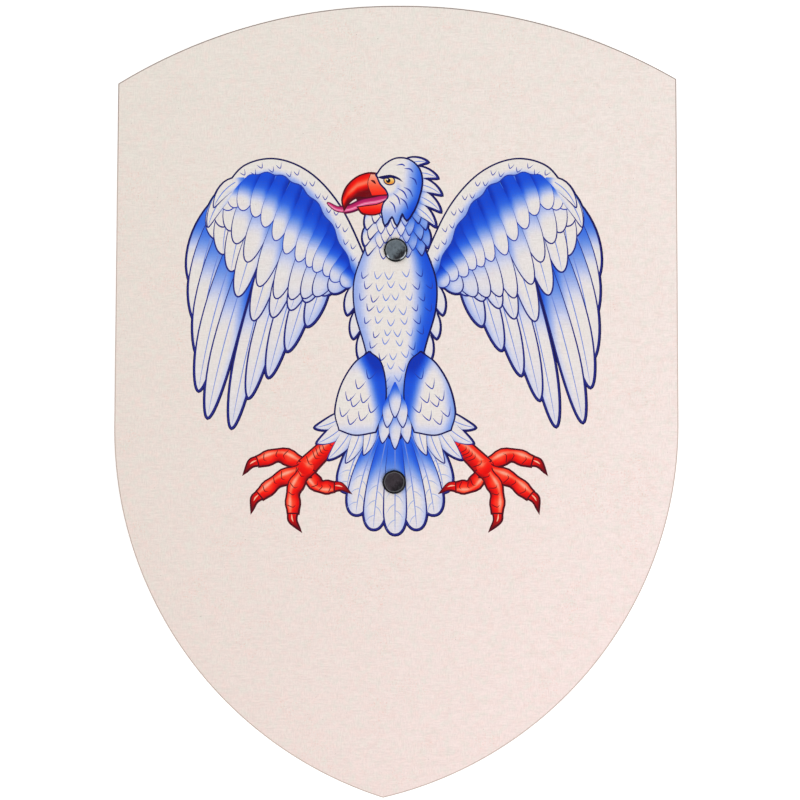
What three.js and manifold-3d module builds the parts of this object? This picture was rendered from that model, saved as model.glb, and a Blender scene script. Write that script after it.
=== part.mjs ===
// A child's wooden shield: a flat plywood board with a printed face, and a wooden hand grip held on its back by
// two round-headed screws. It lies face up, on the flat back of the grip.
// Millimetres, +Z up. +Y points to the shield's top and +X to the right, as seen from the front.
// The origin is on the surface that the grip rests on, under the middle of the board's outline.

import * as THREE from "three";
import { mergeVertices } from "three/addons/utils/BufferGeometryUtils.js";
import Module from "manifold-3d";

// Driving dimensions of the board: its outline is sawn by hand, so left and right differ a little
const HALF_WIDTH = 142.5;
const HALF_HEIGHT = 200;
const BOARD_THICKNESS = 6;
const EDGE_EASE = 0.6;
const APEX_X = 0.8;
const TIP_X = -6.8;
const LEFT_SIDE = { cornerX: -140.5, cornerY: 160.7, shoulderY: -12.0 };
const RIGHT_SIDE = { cornerX: 141.4, cornerY: 163.0, shoulderY: -10.9 };
const TOP_RADIUS = { left: 268.7, right: 276.4 };
const BOTTOM_RADIUS = { left: 194.8, right: 193.3 };

// Driving dimensions of the grip
const GRIP_WIDTH = 26;
const GRIP_DEPTH = 40;
const BAR_DEPTH = 15;
const FOOT_LENGTH = 30;
const HEEL_RADIUS = 20;
const FINGER_RADIUS = 9;
const GRIP_ROUNDING = 4;

// Driving dimensions of the screws, and where they go through the board
const SCREW_UPPER = new THREE.Vector2(-0.3, 76.6);
const SCREW_LOWER = new THREE.Vector2(-1.1, -40.5);
const HEAD_RADIUS = 6;
const HEAD_WALL = 0.6;
const HEAD_ROUNDING = 0.9;
const HEAD_ROUNDING_TURN = THREE.MathUtils.degToRad(77);
const HEAD_CROWN = 0.6;
const SHANK_RADIUS = 2.3;
const SHANK_REACH = 20;
const SCREW_POINT = 4;

// Slack between pieces that touch, and how finely curves are cut into flats
const GAP = 0.3;
const TOP_STEPS = 24;
const BOTTOM_STEPS = 36;
const CORNER_STEPS = 6;
const ROUNDING_STEPS = 4;
const ROUND_SIDES = 28;
const CROWN_STEPS = 4;

// Heights, from the surface up
const BOARD_BACK = GRIP_DEPTH + GAP;
const BOARD_FRONT = BOARD_BACK + BOARD_THICKNESS;
const HEAD_SEAT = BOARD_FRONT + GAP;

const wasm = await Module();
wasm.setup();

// One closed mesh as a solid that can be cut
function toSolid(geometry) {
  const bare = geometry.clone();
  bare.deleteAttribute("normal");
  bare.deleteAttribute("uv");
  const merged = mergeVertices(bare, 1e-4);
  return new wasm.Manifold(
    new wasm.Mesh({
      numProp: 3,
      vertProperties: new Float32Array(merged.attributes.position.array),
      triVerts: new Uint32Array(merged.index.array),
    }),
  );
}

function toGeometry(solid) {
  const { vertProperties, triVerts } = solid.getMesh();
  const geometry = new THREE.BufferGeometry();
  geometry.setAttribute("position", new THREE.BufferAttribute(vertProperties, 3));
  geometry.setIndex(new THREE.BufferAttribute(triVerts, 1));
  geometry.computeVertexNormals();
  return geometry;
}

// The points of an arc that bulges to the right of the way from start to end, without the end itself
function arcPoints(start, end, radius, steps) {
  const way = end.clone().sub(start);
  const half = way.length() / 2;
  const toLeft = new THREE.Vector2(-way.y, way.x).normalize();
  const centre = start
    .clone()
    .add(end)
    .multiplyScalar(0.5)
    .addScaledVector(toLeft, Math.sqrt(radius * radius - half * half));
  const from = start.clone().sub(centre);
  const sweep = 2 * Math.asin(half / radius);
  return Array.from({ length: steps }, (_, i) =>
    from.clone().rotateAround(new THREE.Vector2(), (sweep * i) / steps).add(centre),
  );
}

// The board's outline runs counter-clockwise from the right-hand top corner
function boardOutline() {
  const rightCorner = new THREE.Vector2(RIGHT_SIDE.cornerX, RIGHT_SIDE.cornerY);
  const leftCorner = new THREE.Vector2(LEFT_SIDE.cornerX, LEFT_SIDE.cornerY);
  const apex = new THREE.Vector2(APEX_X, HALF_HEIGHT);
  const tip = new THREE.Vector2(TIP_X, -HALF_HEIGHT);
  const leftShoulder = new THREE.Vector2(-HALF_WIDTH, LEFT_SIDE.shoulderY);
  const rightShoulder = new THREE.Vector2(HALF_WIDTH, RIGHT_SIDE.shoulderY);
  return [
    ...arcPoints(rightCorner, apex, TOP_RADIUS.right, TOP_STEPS),
    ...arcPoints(apex, leftCorner, TOP_RADIUS.left, TOP_STEPS),
    leftCorner,
    ...arcPoints(leftShoulder, tip, BOTTOM_RADIUS.left, BOTTOM_STEPS),
    ...arcPoints(tip, rightShoulder, BOTTOM_RADIUS.right, BOTTOM_STEPS),
    rightShoulder,
  ];
}

// A flat plate with eased edges, bored for the two screws
function boardGeometry() {
  const shape = new THREE.Shape(boardOutline());
  for (const screw of [SCREW_UPPER, SCREW_LOWER]) {
    const bore = new THREE.Path();
    bore.absarc(screw.x, screw.y, SHANK_RADIUS + GAP, 0, 2 * Math.PI, true);
    shape.holes.push(bore);
  }
  return new THREE.ExtrudeGeometry(shape, {
    depth: BOARD_THICKNESS - 2 * EDGE_EASE,
    bevelEnabled: true,
    bevelSize: EDGE_EASE,
    bevelOffset: -EDGE_EASE,
    bevelThickness: EDGE_EASE,
    bevelSegments: 2,
    curveSegments: ROUND_SIDES / 2,
  }).translate(0, 0, BOARD_BACK + EDGE_EASE);
}

// A rounded corner of a profile: a quarter turn about a centre, from one angle to another
function cornerPoints(x, y, radius, fromDegrees, toDegrees) {
  return Array.from({ length: CORNER_STEPS + 1 }, (_, i) => {
    const angle = THREE.MathUtils.degToRad(THREE.MathUtils.lerp(fromDegrees, toDegrees, i / CORNER_STEPS));
    return new THREE.Vector2(x + radius * Math.cos(angle), y + radius * Math.sin(angle));
  });
}

// The grip from the side, along its length and up from its back: a bar on two feet, with room for the fingers
function gripProfile() {
  const halfLength = (SCREW_UPPER.y - SCREW_LOWER.y + FOOT_LENGTH) / 2;
  const halfOpening = halfLength - FOOT_LENGTH;
  return [
    ...cornerPoints(-halfLength + HEEL_RADIUS, HEEL_RADIUS, HEEL_RADIUS, 180, 270),
    ...cornerPoints(halfLength - HEEL_RADIUS, HEEL_RADIUS, HEEL_RADIUS, 270, 360),
    new THREE.Vector2(halfLength, GRIP_DEPTH),
    new THREE.Vector2(halfOpening, GRIP_DEPTH),
    ...cornerPoints(halfOpening - FINGER_RADIUS, BAR_DEPTH + FINGER_RADIUS, FINGER_RADIUS, 360, 270),
    ...cornerPoints(-halfOpening + FINGER_RADIUS, BAR_DEPTH + FINGER_RADIUS, FINGER_RADIUS, 270, 180),
    new THREE.Vector2(-halfOpening, GRIP_DEPTH),
    new THREE.Vector2(-halfLength, GRIP_DEPTH),
  ];
}

// The bar with all its edges rounded, and a blind bore in each foot
function gripGeometry() {
  const middle = SCREW_UPPER.clone().add(SCREW_LOWER).multiplyScalar(0.5);
  const blank = new THREE.ExtrudeGeometry(new THREE.Shape(gripProfile()), {
    depth: GRIP_WIDTH - 2 * GRIP_ROUNDING,
    bevelEnabled: true,
    bevelSize: GRIP_ROUNDING,
    bevelOffset: -GRIP_ROUNDING,
    bevelThickness: GRIP_ROUNDING,
    bevelSegments: ROUNDING_STEPS,
  });
  // The profile's own axes, along and up, become +Y and +Z, and its width lies along X
  blank.translate(0, 0, GRIP_ROUNDING - GRIP_WIDTH / 2);
  blank.rotateY(Math.PI / 2);
  blank.rotateX(Math.PI / 2);
  blank.translate(middle.x, middle.y, 0);
  let grip = toSolid(blank);
  for (const screw of [SCREW_UPPER, SCREW_LOWER]) {
    const depth = SHANK_REACH + GAP;
    const bore = new THREE.CylinderGeometry(SHANK_RADIUS + GAP, SHANK_RADIUS + GAP, 2 * depth, ROUND_SIDES);
    bore.rotateX(Math.PI / 2);
    bore.translate(screw.x, screw.y, GRIP_DEPTH);
    grip = grip.subtract(toSolid(bore));
  }
  return toGeometry(grip);
}

// The top of a screw's head, from rim to middle: a rounded edge, then a low crown that carries on its slope
function headTop() {
  const edge = Array.from({ length: ROUNDING_STEPS + 1 }, (_, i) => {
    const angle = (HEAD_ROUNDING_TURN * i) / ROUNDING_STEPS;
    return new THREE.Vector2(
      HEAD_RADIUS - HEAD_ROUNDING + HEAD_ROUNDING * Math.cos(angle),
      HEAD_WALL + HEAD_ROUNDING * Math.sin(angle),
    );
  });
  const last = edge[ROUNDING_STEPS];
  const crown = Array.from({ length: CROWN_STEPS }, (_, i) => {
    const share = 1 - (i + 1) / CROWN_STEPS;
    return new THREE.Vector2(last.x * share, last.y + HEAD_CROWN * (1 - share * share));
  });
  return [...edge, ...crown];
}

// A screw about its own axis, its head's underside at height 0: a shank with a blunt point, and a button head
function screwGeometry() {
  const below = HEAD_SEAT - GRIP_DEPTH + SHANK_REACH;
  const profile = [
    new THREE.Vector2(0, -below),
    new THREE.Vector2(SHANK_RADIUS / 2, -below),
    new THREE.Vector2(SHANK_RADIUS, -below + SCREW_POINT),
    new THREE.Vector2(SHANK_RADIUS, 0),
    new THREE.Vector2(HEAD_RADIUS, 0),
    ...headTop(),
  ];
  return new THREE.LatheGeometry(profile, ROUND_SIDES).rotateX(Math.PI / 2);
}

const printedBoard = new THREE.MeshStandardMaterial({ color: 0xeee0d7, roughness: 0.55, metalness: 0 });
const plainWood = new THREE.MeshStandardMaterial({ color: 0xcfa877, roughness: 0.6, metalness: 0 });
const blackPaint = new THREE.MeshStandardMaterial({ color: 0x15171a, roughness: 0.3, metalness: 0 });

function piece(name, geometry, material) {
  const mesh = new THREE.Mesh(geometry, material);
  mesh.name = name;
  return mesh;
}

const shield = new THREE.Group();
shield.add(piece("board", boardGeometry(), printedBoard));
shield.add(piece("grip", gripGeometry(), plainWood));
for (const [name, place] of [["screw_upper", SCREW_UPPER], ["screw_lower", SCREW_LOWER]]) {
  const screw = piece(name, screwGeometry(), blackPaint);
  screw.position.set(place.x, place.y, HEAD_SEAT);
  shield.add(screw);
}

export default shield;
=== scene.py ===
from math import asin, cos, pi, radians, sin, sqrt

import bpy
import numpy as np
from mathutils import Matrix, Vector
from mathutils.geometry import delaunay_2d_cdt


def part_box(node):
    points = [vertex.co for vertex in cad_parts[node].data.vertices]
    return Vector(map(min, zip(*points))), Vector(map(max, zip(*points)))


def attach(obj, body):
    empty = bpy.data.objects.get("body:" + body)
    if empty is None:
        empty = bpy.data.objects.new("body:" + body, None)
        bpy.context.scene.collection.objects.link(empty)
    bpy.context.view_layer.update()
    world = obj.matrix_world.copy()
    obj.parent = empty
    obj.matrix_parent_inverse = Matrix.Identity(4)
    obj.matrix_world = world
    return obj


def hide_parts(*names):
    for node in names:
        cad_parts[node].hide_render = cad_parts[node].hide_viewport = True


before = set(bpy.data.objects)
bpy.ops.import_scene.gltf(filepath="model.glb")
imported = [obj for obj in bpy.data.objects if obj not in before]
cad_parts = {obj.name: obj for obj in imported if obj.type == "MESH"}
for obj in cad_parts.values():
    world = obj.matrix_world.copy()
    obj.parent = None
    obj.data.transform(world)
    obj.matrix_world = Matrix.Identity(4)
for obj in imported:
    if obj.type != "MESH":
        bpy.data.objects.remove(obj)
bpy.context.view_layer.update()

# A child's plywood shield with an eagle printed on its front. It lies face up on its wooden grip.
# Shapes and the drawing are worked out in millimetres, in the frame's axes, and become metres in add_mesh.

MM = 0.001

# Heights, from the CAD pieces
BOARD_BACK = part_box("board")[0].z / MM
BOARD_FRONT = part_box("board")[1].z / MM

# The board's sawn outline. STRAIGHT is a radius so large that a side is straight.
HALF_WIDTH = 142.5
HALF_HEIGHT = 200.0
APEX = (0.8, HALF_HEIGHT)
TIP = (-6.8, -HALF_HEIGHT)
LEFT_CORNER = (-140.5, 160.7)
RIGHT_CORNER = (141.4, 163.0)
LEFT_SHOULDER = (-HALF_WIDTH, -12.0)
RIGHT_SHOULDER = (HALF_WIDTH, -10.9)
TOP_RADIUS_LEFT = 268.7
TOP_RADIUS_RIGHT = 276.4
BOTTOM_RADIUS_LEFT = 194.8
BOTTOM_RADIUS_RIGHT = 193.3
EDGE_EASE = 0.6
EASE_STEPS = 5
WALL_STEPS = 4
ARC_STEP = 2.5
STRAIGHT = 1e5
BORE_SIDES = 32

# Screws and grip
SCREW_PLACES = {"screw_upper": (-0.3, 76.6), "screw_lower": (-1.1, -40.5)}
SHANK_RADIUS = 2.3
GAP = 0.3
HEAD_RADIUS = 6.0
HEAD_WALL = 0.6
HEAD_ROUNDING = 0.9
HEAD_TURN = radians(77)
HEAD_CROWN = 0.6
SHANK_REACH = 20.0
SCREW_POINT = 4.0
GRIP_WIDTH = 26.0
GRIP_DEPTH = 40.0
BAR_DEPTH = 15.0
FOOT_LENGTH = 30.0
HEEL_RADIUS = 20.0
FINGER_RADIUS = 9.0
GRIP_ROUNDING = 4.0
QUARTER_STEPS = 14
ROUNDING_STEPS = 8
SCREW_SIDES = 72

# Colours of the print, as sRGB shares
BLUES = ((0.0, (0.905, 0.898, 0.880)), (0.11, (0.880, 0.880, 0.900)), (0.22, (0.790, 0.822, 0.940)),
         (0.36, (0.640, 0.708, 0.920)), (0.50, (0.420, 0.575, 0.905)), (0.66, (0.180, 0.400, 0.890)),
         (0.84, (0.085, 0.300, 0.850)), (1.0, (0.050, 0.200, 0.710)))
REDS = ((0.0, (1.0, 0.66, 0.56)), (0.3, (0.995, 0.32, 0.20)), (0.6, (0.970, 0.05, 0.02)),
        (0.85, (0.72, 0.02, 0.04)), (1.0, (0.45, 0.01, 0.06)))
PINKS = ((0.0, (0.98, 0.66, 0.78)), (0.5, (0.86, 0.20, 0.46)), (1.0, (0.58, 0.04, 0.30)))
AMBERS = ((0.0, (1.0, 0.93, 0.62)), (1.0, (0.95, 0.60, 0.20)))
NAVY = (0.085, 0.075, 0.33)
MAROON = (0.33, 0.03, 0.10)
PLUM = (0.40, 0.03, 0.24)
INK_BLUE = (0.15, 0.24, 0.66)
INNER_NAVY = (0.14, 0.16, 0.50)
SOFT_BLUE = (0.45, 0.55, 0.86)
FAINT_BLUE = (0.64, 0.70, 0.88)
MOUTH = (0.36, 0.03, 0.12)
BLACK = (0.05, 0.04, 0.12)
WHITE = (1.0, 1.0, 1.0)
GLINT = (1.0, 0.72, 0.60)

# Colours of the ground, the woods and the paint, as sRGB shares
# the ground's creams at its left and right; the right one is lighter by painted light
CREAM_SHADED_LEFT = (0.918, 0.885, 0.848)
CREAM_LIT_RIGHT = (0.978, 0.932, 0.909)
BLUSH = (1.0, 0.965, 0.972)
CREAM_PINK = (0.960, 0.855, 0.825)
CREAM_GREEN = (0.890, 0.900, 0.850)
WEAVE_SHADE = (0.60, 0.58, 0.58)
SALMON = (0.930, 0.660, 0.580)
SPECK = (0.45, 0.38, 0.36)
PLY_PALE = (0.80, 0.66, 0.50)
PLY_TAN = (0.70, 0.54, 0.38)
PLY_BROWN = (0.47, 0.33, 0.23)
PLY_GLUE = (0.36, 0.24, 0.17)
# the primer's grey on the eased edge at the sides and along the top, partly painted shade, the top more so
PRIMER_AND_SHADE_SIDE = (0.770, 0.700, 0.665)
PRIMER_AND_SHADE_TOP = (0.580, 0.525, 0.500)
SCUFF = (0.55, 0.56, 0.57)
# a painted dark reflection on a head's top
DARK_REFLECTION = (0.07, 0.05, 0.07)
# the pale of painted glints on a head's rim
RIM_GLINT = (0.80, 0.83, 0.87)
FLOOR_LIGHT = (0.93, 0.93, 0.93)
FLOOR_SHADE = (0.90, 0.90, 0.90)
BIRCH = ((0.88, 0.80, 0.69), (0.81, 0.70, 0.56), (0.58, 0.45, 0.33))
BEECH = ((0.80, 0.62, 0.42), (0.68, 0.48, 0.29), (0.40, 0.25, 0.14))
# the heads' top tones; the upper one's grey is partly dust and partly a painted satin sheen
UPPER_TOP = (0.415, 0.455, 0.485)
LOWER_TOP = (0.235, 0.205, 0.228)
# near-black: the paint's darkest tone, and the painted shade on a head's rounded rim
HEAD_BLACK_AND_RIM_SHADE = (0.03, 0.03, 0.035)

# Where the finish changes: one ply's thickness, how far below the front the primer starts and covers in full,
# between which heights of the shield painted shade turns it grey, and a head's rubbed ring, its near-black
# rim of painted shade and its painted glints
PLY = 1.2
PRIMER_LAP = (1.1, 0.75)
TOP_SHADE_TURNS = (100.0, 185.0)
RUBBED_RADIUS = 4.85
RIM_SHADE_RADII = (5.05, 5.35)
GLINT_RADIUS = 5.2

# Studio. The floor glows less in an oval under the shield.
FLOOR_SIZE = 8000.0
FLOOR_GLOW = 0.5
FLOOR_GLOW_UNDER = 0.10
GLOW_TINT = (0.90, 0.95, 1.0)
SHADE_HALF = (120.0, 150.0)
SHADE_MIDDLE_Y = 25.0
SKY = 0.60
HORIZON = 1.0
KEY_WATTS = 26.0
FILL_WATTS = 14.0
PICTURE = 800
PHOTO_CENTRE = (396.4, 401.8)
PHOTO_SCALE = 792.2 / (2 * HALF_HEIGHT)
CAMERA_DISTANCE = 1600.0
SENSOR = 36.0

# The emblem: its middle line on the board, how wide its wings' arms are, the spacing of the points that carry
# its soft shading, and the name of its colours on the mesh
EMBLEM_X = -0.7
WING_ARM_WIDTH = 6.4
COARSE_SPACING = 1.25
INK = "ink"

# The pen: the width of the dark rim round the emblem, the way in which it presses hardest, and the least
# squared cosine at which an outline's corner still keeps its full width
RIM = 1.05
PRESSED_WAY = (0.55, -0.83)
SHARPEST_CORNER = 0.16

# The board's texture map: the gap round its parts as a share of its side, and how much its edge is magnified
# across the plies
MAP = "OFBake"
MAP_GAP = 0.004
PLIES_MAGNIFIED = 2.0

# Everything drawn, lowest first: an outline, a function from points to colours, and whether its shading is
# fine. The rims lie under it all, so that they show round the emblem alone.
layers = []
rims = []
chance = np.random.default_rng(5)


# Lines and outlines
def unit(v):
    return v / np.maximum(np.linalg.norm(v, axis=-1, keepdims=True), 1e-9)


def right_of(way):
    """The way turned a quarter to the right."""
    return np.stack([way[..., 1], -way[..., 0]], -1)


def rightwards(line):
    """The direction to the right of a line at each of its points."""
    return right_of(unit(np.gradient(line, axis=0)))


def ease(a, b, x):
    """From 0 at a to 1 at b, with a soft start and end; b may be less than a."""
    t = np.clip((x - a) / (b - a), 0, 1)
    return t * t * (3 - 2 * t)


def hump(x, middle, width):
    """A soft hump, 1 at its middle."""
    return np.exp(-(((x - middle) / width) ** 2))


def curve(points, steps=6):
    """A smooth line through points (Catmull-Rom), ends included."""
    p = np.asarray(points, float)
    q = np.vstack([2 * p[0] - p[1], p, 2 * p[-1] - p[-2]])
    t = np.arange(steps)[:, None] / steps
    parts = []
    for a, b, c, d in zip(q, q[1:], q[2:], q[3:]):
        parts.append(0.5 * (2 * b + (c - a) * t + (2 * a - 5 * b + 4 * c - d) * t ** 2
                            + (3 * b - a - 3 * c + d) * t ** 3))
    return np.vstack(parts + [p[-1:]])


def traced(start, *runs):
    """A line from start through smooth runs. A run is how many steps lie between points, then its points."""
    parts = []
    for steps, *points in runs:
        parts.append(curve([start, *points], steps))
        start = points[-1]
    return np.vstack([part[:-1] for part in parts] + [parts[-1][-1:]])


def part_way(pair, share):
    """The value at a share of the way from a pair's first value to its second."""
    return pair[0] + (pair[1] - pair[0]) * share


def tube(line, half_widths):
    """The outline of a band along a line."""
    side = rightwards(line) * np.asarray(half_widths)[:, None]
    return np.vstack([line + side, (line - side)[::-1]])


def at_share(line, share):
    """The point at a share of a line's length."""
    run = np.concatenate([[0], np.cumsum(np.linalg.norm(np.diff(line, axis=0), axis=1))])
    return np.array([np.interp(share * run[-1], run, line[:, i]) for i in range(2)])


def along(line):
    """A function that finds, for points, the share of the line that lies behind them and how far to its
    right they are."""
    start, way = line[:-1], np.diff(line, axis=0)
    length = np.linalg.norm(way, axis=1)
    way = way / length[:, None]
    run = np.concatenate([[0], np.cumsum(length)])
    low = np.zeros(len(length))
    high = length.copy()
    low[0], high[-1] = -1e9, 1e9

    def find(p):
        q = p[:, None] - start[None]
        on = np.clip((q * way).sum(2), low, high)
        off = q - way * on[..., None]
        near = (off ** 2).sum(2).argmin(1)
        row = np.arange(len(p))
        share = (run[near] + on[row, near]) / run[-1]
        return np.clip(share, 0, 1), (off[row, near] * right_of(way)[near]).sum(1)
    return find


def outwards(outline):
    """For each point of a counter-clockwise outline, the way that moves both its edges out by 1."""
    before, after = unit(outline - np.roll(outline, 1, 0)), unit(np.roll(outline, -1, 0) - outline)
    corner = np.sqrt(np.clip((1 + (before * after).sum(1)) / 2, SHARPEST_CORNER, 1))
    return right_of(unit(before + after)) / corner[:, None]


def grown(outline, width):
    """An outline moved outwards, a little further on the lower right, where the pen presses."""
    x, y = outline.T
    turns = np.sum(x * np.roll(y, -1) - np.roll(x, -1) * y)
    p = outline if turns > 0 else outline[::-1]
    out = outwards(p)
    press = 0.93 + 0.14 * (unit(out) @ np.array(PRESSED_WAY))
    return p + out * (width * press)[:, None]


# Colours and pen
def ramp(stops, value):
    """The colours for values from 0 to 1; beyond those, the first or the last colour."""
    at = [stop for stop, _ in stops]
    return np.stack([np.interp(value, at, [colour[i] for _, colour in stops]) for i in range(3)], -1)


def flat(colour):
    return lambda p: np.tile(np.array(colour, float), (len(p), 1))


def fill(outline, shade, fine=False):
    layers.append((np.asarray(outline, float), shade, fine))


def rim(outline, ink=NAVY):
    rims.append((grown(outline, RIM), flat(ink), False))


def inked(outline, shade, width, ink=NAVY, fine=False):
    """A shape with an inked outline, heavier where it bounds the emblem."""
    rim(outline, ink)
    fill(grown(outline, width), flat(ink))
    fill(outline, shade, fine)


def stroke(line, width, ink, start, end):
    """A pen stroke. start and end are the shares of its width that are left at its ends."""
    t = np.linspace(0, 1, len(line))
    share = start * (1 - t) + end * t + (1 - (start + end) / 2) * np.sin(pi * t)
    fill(tube(line, width / 2 * share), flat(ink))


def mark(place, way, size, width=0.6, ink=INK_BLUE):
    """A small open curve, the end of a short feather that points along way."""
    way = unit(np.asarray(way, float))
    side = right_of(way)
    bow = ((-0.8, -0.7), (-0.45, 0.2), (0.0, 0.75), (0.5, 0.1), (0.75, -0.5))
    stroke(curve([place + (side * s + way * w) * size for s, w in bow], 3), width, ink, 0.1, 0.2)


def spot(x, y, wide, high, steps=18, lean=0.0):
    """An ellipse, turned by lean."""
    a = np.linspace(0, 2 * pi, steps, endpoint=False)
    p = np.stack([wide * np.cos(a), high * np.sin(a)], 1)
    return p @ np.array([[cos(lean), sin(lean)], [-sin(lean), cos(lean)]]) + (x, y)


def feather(root, tip, width, bend, dark, side, shadow, shaft=0.5, *, neck, steps, belly=0.6, point=2.0,
            ink=0.9, colour=INNER_NAVY, depth=0.62, fade=0.35, barbs=0):
    """A feather from root to tip. bend bulges its middle line to the right, and side is the side (1 is right)
    in shade. The shade of the feathers above it starts to fade and ends at the two shares in shadow. Its pen
    line runs round its tip and dies out at the share fade on both sides."""
    root, tip = np.array(root, float), np.array(tip, float)
    way = unit(tip - root)
    t = np.sin(pi / 2 * np.linspace(0, 1, steps + 1))
    middle = root + (tip - root) * t[:, None] + right_of(way) * (bend * 4 * t * (1 - t))[:, None]
    swell = neck + (1 - neck) * np.sin(pi / 2 * np.clip(t / belly, 0, 1))
    close = np.clip(1 - np.clip((t - belly) / (1 - belly), 0, 1) ** point, 0, 1) ** (1 / point)
    outline = np.delete(tube(middle, width / 2 * swell * close), steps + 1, 0)
    find = along(middle)

    def shade(p):
        share, off = find(p)
        across = off / (width / 2) * side
        value = dark + 0.33 * ease(0.1, 1.1, across) * (1 - 0.35 * share) + 0.06 * ease(-0.5, -1.1, across)
        value += depth * (1 - ease(*shadow, share)) + 0.12 * ease(0.72, 1.0, share)
        return ramp(BLUES, value)
    rim(outline)
    fill(outline, shade)
    first = int(np.searchsorted(t, fade))
    stroke(outline[first:len(outline) - first], ink, colour, 0.1, 0.1)
    if shaft:
        stroke(middle[2:-2], shaft, SOFT_BLUE, 0.9, 0.1)
    for k in range(barbs):
        for hand in (-1, 1):
            share = 0.50 + 0.40 * (k + 0.5 + 0.3 * hand) / barbs
            base = np.array([np.interp(share, t, middle[:, i]) for i in range(2)])
            out = right_of(way) * hand * width / 2
            barb = [base, base + out * 0.4 + way * width * 0.13, base + out * 0.76 + way * width * 0.42]
            stroke(curve(barb, 4), 0.4, FAINT_BLUE, 1.0, 0.1)


# The emblem: an eagle with spread wings. y is the board's y, and x is from the emblem's own middle line.
WING_ARM = ((11, 55), (19, 76), (30, 98), (44, 113.5), (60, 120.5), (75, 118), (85, 108))
WING_TIPS = ((97, 54), (99.5, 31), (99, 8), (94, -12), (85, -14), (76, -3), (67.5, 9), (59.5, 20),
             (51.5, 30), (44, 38.5))


def wing(side):
    """side is 1 for the wing on the viewer's right and -1 for the other."""
    flip = np.array([side, 1.0])
    arm, tips = curve(WING_ARM, 10) * flip, curve(WING_TIPS, 8) * flip
    inward = rightwards(arm) * side
    roots = arm + inward * 2.5

    def row(count, place, reach, wide, bend, dark, jitter, **looks):
        """A row of feathers from the wrist in. Each pair is for the row's first and last feather."""
        for share in np.arange(count) / (count - 1):
            root = at_share(roots, part_way(place, share))
            tip = root + (at_share(tips, share) - root) * part_way(reach, share) + chance.normal(0, jitter, 2)
            feather(root, tip, part_way(wide, share), side * part_way(bend, share),
                    part_way(dark, share ** 2), side, **looks)

    row(10, (0.975, 0.365), (1, 1), (12.2, 9.8), (-8, 1), (0.0, 0.16), 0.8,
        shadow=(0.38, 0.72), belly=0.72, neck=0.33, point=1.8, steps=22, ink=1.1, fade=0.2)
    row(9, (0.965, 0.265), (0.50, 0.62), (11.8, 9.8), (-4, 1), (-0.02, 0.16), 0.7,
        shadow=(0.30, 0.76), belly=0.66, neck=0.5, steps=18)
    row(10, (0.975, 0.20), (0.36, 0.54), (10.5, 10.5), (-1.5, 1), (-0.04, 0.16), 0.5,
        shadow=(0.3, 0.9), shaft=0, neck=0.7, steps=14, ink=0.75, depth=0.60)
    row(13, (0.975, 0.15), (0.22, 0.33), (8.6, 8.6), (-1.5, 1), (-0.02, 0.16), 0.5,
        shadow=(0.22, 0.90), shaft=0, neck=0.7, steps=14, ink=0.6, colour=INK_BLUE, depth=0.84, fade=0.5)

    # the arm, over the feathers' roots, with small feathers marked on it
    t = np.linspace(0, 1, len(arm))
    thick = np.sqrt(np.sin(pi * np.clip(0.20 + 0.80 * t, 0, 0.999)))[:, None]
    scalloped = arm + inward * WING_ARM_WIDTH * thick * (1 + 0.10 * np.cos(2 * pi * 9 * t))[:, None]
    outline = np.vstack([arm - inward * thick * 2.0, scalloped[::-1]])
    find = along(arm)

    def shade(p):
        share, off = find(p)
        value = 0.42 * ease(1.0, WING_ARM_WIDTH, off * side) + 0.5 * (1 - ease(0, 0.25, share))
        return ramp(BLUES, value)
    rim(outline)
    fill(outline, shade)
    stroke(scalloped[3:-3], 0.7, INK_BLUE, 0.1, 0.1)
    for k, share in enumerate(np.linspace(0.90, 0.10, 20)):
        place = at_share(arm + inward * (1.0, 3.4)[k % 2], share)
        ahead = unit(at_share(arm, share - 0.02) - at_share(arm, share + 0.02))
        mark(place, ahead * 0.6 + unit(at_share(tips, 0.5) - place), 1.9, 0.5)
    # two short feathers at the wrist
    for root, tip, wide in (((79, 111), (94.5, 88), 7), ((76, 113), (91.5, 98), 6)):
        feather(root * flip, tip * flip, wide, side * -2.5, 0.0, side, (0, 0.3), belly=0.45, neck=0.12,
                point=1.5, steps=14, ink=0.7)


def tail():
    base = np.array([0.0, -8.0])
    lengths = (59, 57.5, 53, 45)
    for k, hand in ((3, -1), (3, 1), (2, -1), (2, 1), (1, -1), (1, 1), (0, 1)):
        angle = radians(-90 + hand * k * 11)
        tip = base + lengths[k] * np.array([cos(angle), sin(angle)])
        feather(base + (hand * k * 1.8, 0), tip, 11.6, hand * k * -1.4, 0.04, -hand, (0.28, 0.76), barbs=3,
                belly=0.80, neck=0.28, point=2.2, steps=20, ink=1.0, fade=0.2)


def rings(line, half, shares):
    """Curved creases across a toe or a shank."""
    out = rightwards(line)
    for share in shares:
        i = int(round(share * (len(line) - 1)))
        back = -right_of(out[i]) * half[i] * 0.4
        crease = [line[i] + out[i] * half[i] * 0.9, line[i] + back, line[i] - out[i] * half[i] * 0.45]
        stroke(curve(crease, 3), 0.4, MAROON, 0.9, 0.1)


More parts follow.
